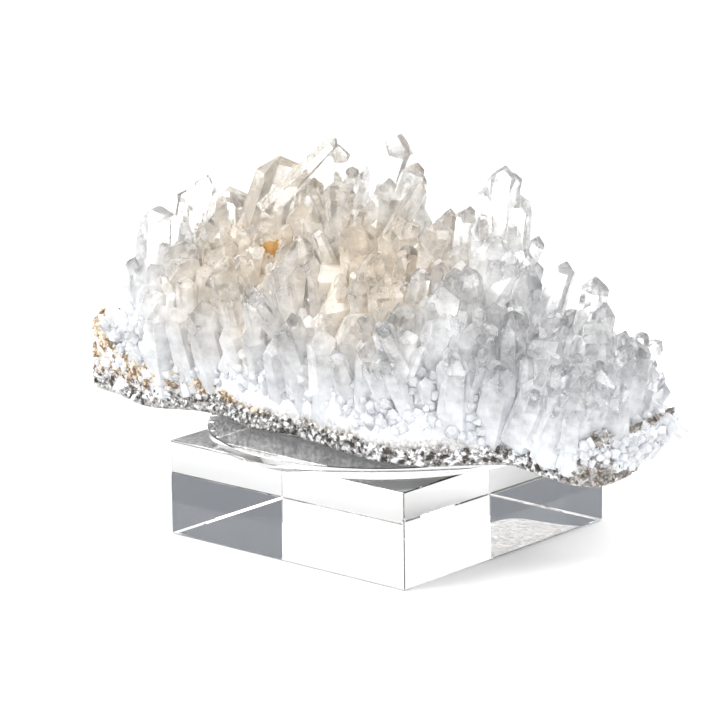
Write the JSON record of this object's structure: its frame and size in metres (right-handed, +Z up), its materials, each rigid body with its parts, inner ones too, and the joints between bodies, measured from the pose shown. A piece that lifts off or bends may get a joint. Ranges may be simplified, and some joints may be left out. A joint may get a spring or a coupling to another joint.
{
  "type": "quartz crystal cluster on an acrylic stand",
  "caption": "Cluster of clear and milky quartz crystals on its matrix, fixed on a thin round acrylic disc and a square clear acrylic block.",
  "frame": {"origin": "middle of the acrylic block's underside, on the surface that the object stands on", "axes": "+Z up, +X along the long side of the cluster towards its lower rounded end, -Y towards the side that the picture shows best"},
  "size_m": [0.1654, 0.0888, 0.1],
  "materials": {
    "quartz": "clear points, milky and beige bodies, granular grey matrix along the base",
    "acrylic_disc": "clear cast acrylic, polished",
    "acrylic_block": "clear cast acrylic, polished"
  },
  "bodies": {
    "root": {"quartz_cluster": "quartz", "acrylic_disc": "acrylic_disc", "acrylic_block": "acrylic_block"}
  },
  "joints": []
}
